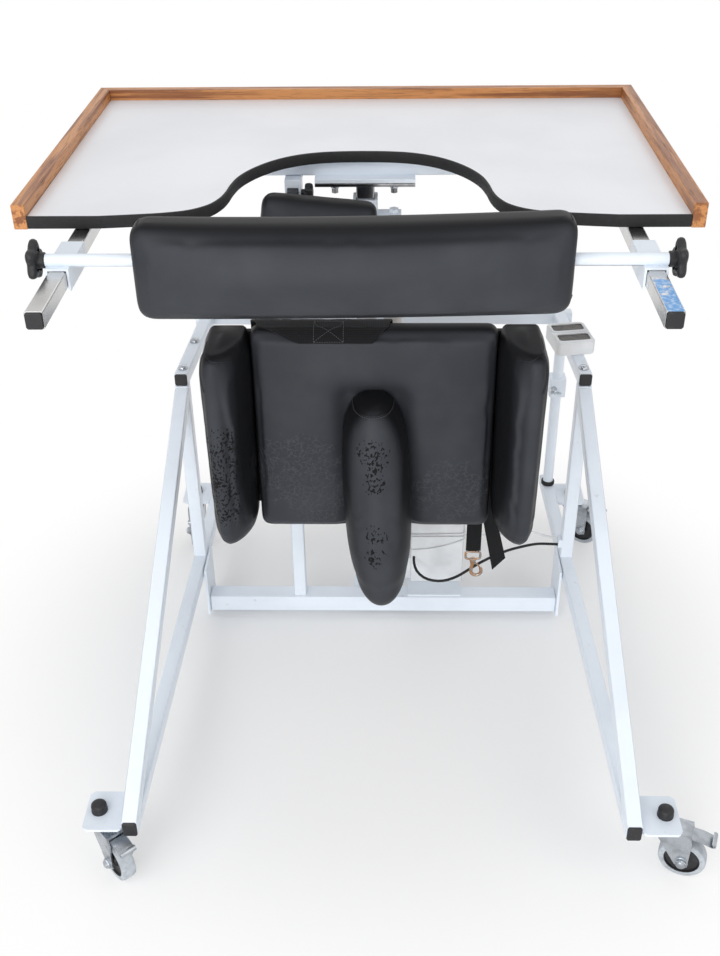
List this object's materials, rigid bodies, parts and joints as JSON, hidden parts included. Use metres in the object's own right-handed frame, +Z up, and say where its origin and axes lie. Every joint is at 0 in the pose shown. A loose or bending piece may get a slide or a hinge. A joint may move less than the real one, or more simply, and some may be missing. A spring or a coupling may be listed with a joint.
{
  "type": "powered standing frame",
  "caption": "Wheeled standing frame: tray with body cut-out on a powered lift mast, sliding hip and chest pads, and a knee pad with laterals and pommel",
  "frame": {"origin": "on the floor under the middle of the bounding box", "axes": "+X to the user's right, +Y the way the user faces, +Z up"},
  "size_m": [1.085, 1.1028, 1.0202],
  "materials": {
    "white_paint": "white powder coat",
    "chrome": "bright chrome plate",
    "zinc": "zinc plate",
    "black_plastic": "moulded black plastic",
    "black_vinyl": "black upholstery vinyl over foam",
    "black_web": "woven black webbing",
    "laminate": "white laminate on board",
    "oak": "clear-finished oak",
    "plywood": "bare plywood",
    "grey_rubber": "grey non-marking tread on a black hub",
    "white_plastic": "moulded white plastic",
    "dark_window": "dark plastic"
  },
  "bodies": {
    "frame": {"side_frame_left": "white_paint", "side_frame_right": "white_paint", "diagonal_left": "white_paint", "diagonal_right": "white_paint", "diagonal_plug_left": "black_plastic", "diagonal_plug_right": "black_plastic", "arm_plug_left": "black_plastic", "arm_plug_right": "black_plastic", "top_frame": "white_paint", "front_post_left": "white_paint", "front_post_right": "white_paint", "lower_crossbar": "white_paint", "lift_column": "white_paint", "actuator_body": "white_plastic", "control_box": "white_plastic", "motor_cable": "black_plastic", "supply_cable": "white_plastic"},
    "lift": {"lift_mast": "chrome", "lift_bracket": "white_paint", "actuator_rod": "chrome", "tray_beam": "white_paint", "rail_left": "chrome", "rail_right": "chrome", "rail_plug_left": "black_plastic", "rail_plug_right": "black_plastic", "tray_board": "laminate", "tray_edging": "black_plastic", "oak_rim": "oak", "chest_channel": "white_paint"},
    "hip_carriage": {"hip_bar": "white_paint", "hip_pad": "black_vinyl"},
    "hip_clamp_left": {"hip_knob_left": "black_plastic"},
    "hip_clamp_right": {"hip_knob_right": "black_plastic"},
    "chest_carriage": {"chest_arm": "black_plastic", "chest_pad": "black_vinyl"},
    "chest_clamp": {"chest_knob": "black_plastic"},
    "knee_carriage": {"knee_bracket": "white_paint", "knee_board": "plywood", "knee_panel": "black_vinyl", "knee_lateral_left": "black_vinyl", "knee_lateral_right": "black_vinyl", "knee_pommel": "black_vinyl", "sling_belt": "black_web", "sling_strap": "black_web", "strap_hook": "zinc"},
    "knee_clamp": {"knee_knob": "black_plastic"},
    "up_bar": {"button_up": "dark_window"},
    "down_bar": {"button_down": "dark_window"},
    "caster_rear_left": {"fork_rear_left": "zinc"},
    "roll_rear_left": {"wheel_rear_left": "grey_rubber"},
    "brake_rear_left": {"pedal_rear_left": "zinc"},
    "caster_rear_right": {"fork_rear_right": "zinc"},
    "roll_rear_right": {"wheel_rear_right": "grey_rubber"},
    "brake_rear_right": {"pedal_rear_right": "zinc"},
    "caster_front_left": {"fork_front_left": "zinc"},
    "roll_front_left": {"wheel_front_left": "grey_rubber"},
    "brake_front_left": {"pedal_front_left": "zinc"},
    "caster_front_right": {"fork_front_right": "zinc"},
    "roll_front_right": {"wheel_front_right": "grey_rubber"},
    "brake_front_right": {"pedal_front_right": "zinc"}
  },
  "joints": [
    {"name": "lift_slide", "type": "slide", "parent": "frame", "child": "lift", "axis": [0, 0, 1], "range_m": [0, 0.3]},
    {"name": "hip_slide", "type": "slide", "parent": "lift", "child": "hip_carriage", "axis": [0, 1, 0], "range_m": [-0.09, 0.05]},
    {"name": "hip_clamp_left_turn", "type": "hinge", "parent": "hip_carriage", "child": "hip_clamp_left", "pos_m": [-0.4593, -0.2336, 0.957], "axis": [1, 0, 0], "range_deg": [0, 360]},
    {"name": "hip_clamp_right_turn", "type": "hinge", "parent": "hip_carriage", "child": "hip_clamp_right", "pos_m": [0.3993, -0.2336, 0.957], "axis": [1, 0, 0], "range_deg": [0, 360]},
    {"name": "chest_slide", "type": "slide", "parent": "lift", "child": "chest_carriage", "axis": [0, 1, 0], "range_m": [-0.06, 0.04]},
    {"name": "chest_clamp_turn", "type": "hinge", "parent": "lift", "child": "chest_clamp", "pos_m": [-0.1339, 0.2029, 0.897], "axis": [1, 0, 0], "range_deg": [0, 360]},
    {"name": "knee_slide", "type": "slide", "parent": "frame", "child": "knee_carriage", "axis": [0, 0, 1], "range_m": [-0.08, 0.02]},
    {"name": "knee_clamp_turn", "type": "hinge", "parent": "knee_carriage", "child": "knee_clamp", "pos_m": [-0.0493, 0.2314, 0.545], "axis": [1, 0, 0], "range_deg": [0, 360]},
    {"name": "up_press", "type": "slide", "parent": "frame", "child": "up_bar", "axis": [0, 0, 1], "range_m": [-0.0025, 0], "stiffness_N_per_m": 400},
    {"name": "down_press", "type": "slide", "parent": "frame", "child": "down_bar", "axis": [0, 0, 1], "range_m": [-0.0025, 0], "stiffness_N_per_m": 400},
    {"name": "swivel_rear_left", "type": "hinge", "parent": "frame", "child": "caster_rear_left", "pos_m": [-0.4465, -0.4796, 0.1], "axis": [0, 0, 1], "continuous": true},
    {"name": "roll_rear_left", "type": "hinge", "parent": "caster_rear_left", "child": "roll_rear_left", "pos_m": [-0.42107, -0.50784, 0.038], "axis": [0.7431, 0.6691, 0], "continuous": true},
    {"name": "brake_rear_left", "type": "hinge", "parent": "caster_rear_left", "child": "brake_rear_left", "pos_m": [-0.42241, -0.50635, 0.09], "axis": [0.7431, 0.6691, 0], "range_deg": [0, 8]},
    {"name": "swivel_rear_right", "type": "hinge", "parent": "frame", "child": "caster_rear_right", "pos_m": [0.4585, -0.4796, 0.1], "axis": [0, 0, 1], "continuous": true},
    {"name": "roll_rear_right", "type": "hinge", "parent": "caster_rear_right", "child": "roll_rear_right", "pos_m": [0.49421, -0.4926, 0.038], "axis": [0.342, 0.9397, 0], "continuous": true},
    {"name": "brake_rear_right", "type": "hinge", "parent": "caster_rear_right", "child": "brake_rear_right", "pos_m": [0.49233, -0.49191, 0.09], "axis": [0.342, 0.9397, 0], "range_deg": [0, 8]},
    {"name": "swivel_front_left", "type": "hinge", "parent": "frame", "child": "caster_front_left", "pos_m": [-0.416, 0.4304, 0.1], "axis": [0, 0, 1], "continuous": true},
    {"name": "roll_front_left", "type": "hinge", "parent": "caster_front_left", "child": "roll_front_left", "pos_m": [-0.41467, 0.39242, 0.038], "axis": [0.9994, 0.0349, 0], "continuous": true},
    {"name": "brake_front_left", "type": "hinge", "parent": "caster_front_left", "child": "brake_front_left", "pos_m": [-0.41474, 0.39442, 0.09], "axis": [0.9994, 0.0349, 0], "range_deg": [0, 8]},
    {"name": "swivel_front_right", "type": "hinge", "parent": "frame", "child": "caster_front_right", "pos_m": [0.428, 0.4304, 0.1], "axis": [0, 0, 1], "continuous": true},
    {"name": "roll_front_right", "type": "hinge", "parent": "caster_front_right", "child": "roll_front_right", "pos_m": [0.46091, 0.4114, 0.038], "axis": [0.5, 0.866, 0], "continuous": true},
    {"name": "brake_front_right", "type": "hinge", "parent": "caster_front_right", "child": "brake_front_right", "pos_m": [0.45918, 0.4124, 0.09], "axis": [0.5, 0.866, 0], "range_deg": [0, 8]}
  ]
}
